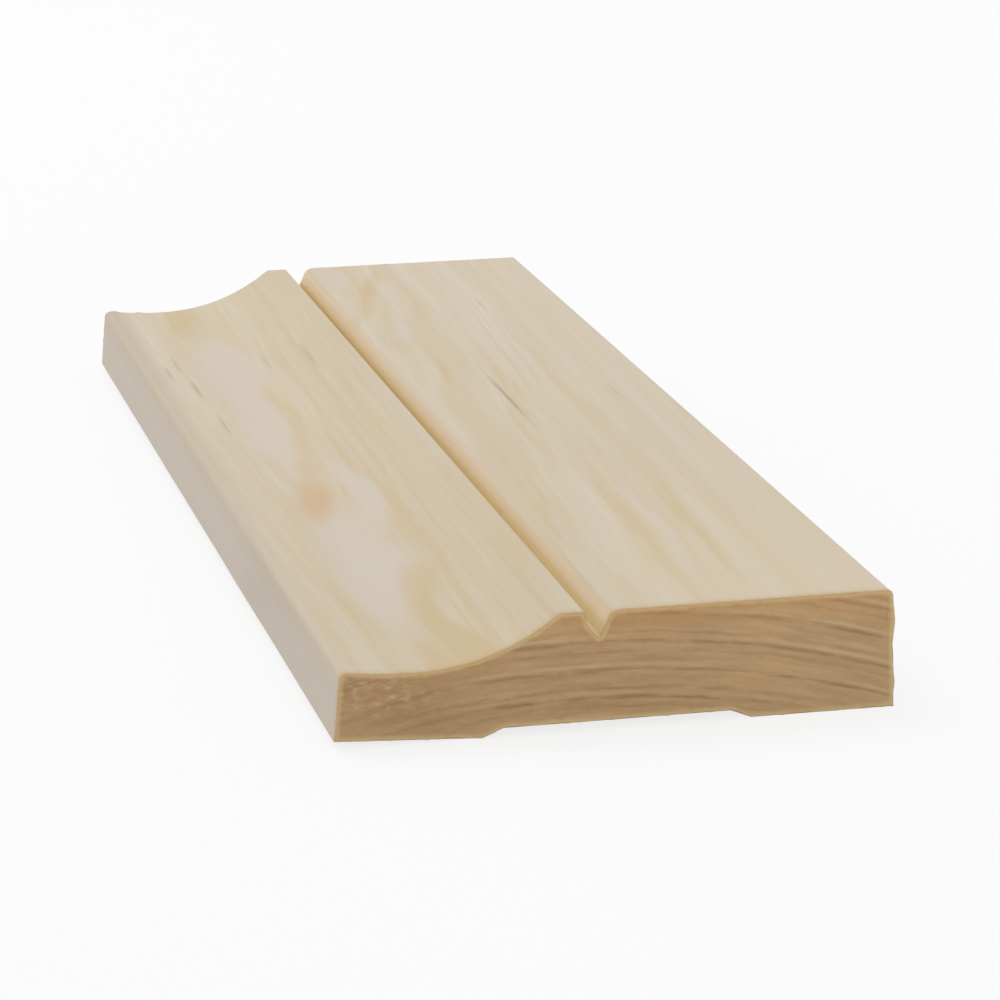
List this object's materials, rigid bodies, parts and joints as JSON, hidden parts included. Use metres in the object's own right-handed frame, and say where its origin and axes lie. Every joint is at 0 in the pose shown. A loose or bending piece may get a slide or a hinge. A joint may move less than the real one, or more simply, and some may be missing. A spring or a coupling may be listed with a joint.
{
  "type": "architrave moulding",
  "caption": "Straight wooden architrave moulding: a wide flat, a quirk groove and ridge, and a broad cove falling to a thin edge, with a shallow recess in the back.",
  "frame": {"origin": "middle of the width and of the length, on the plane the back lies on", "axes": "+X across the width from the thin edge to the thick edge, +Y along the length, +Z out of the moulded face"},
  "size_m": [0.07, 0.2, 0.015],
  "materials": {
    "pine": "planed, unfinished"
  },
  "bodies": {
    "root": {"architrave_moulding": "pine"}
  },
  "joints": []
}
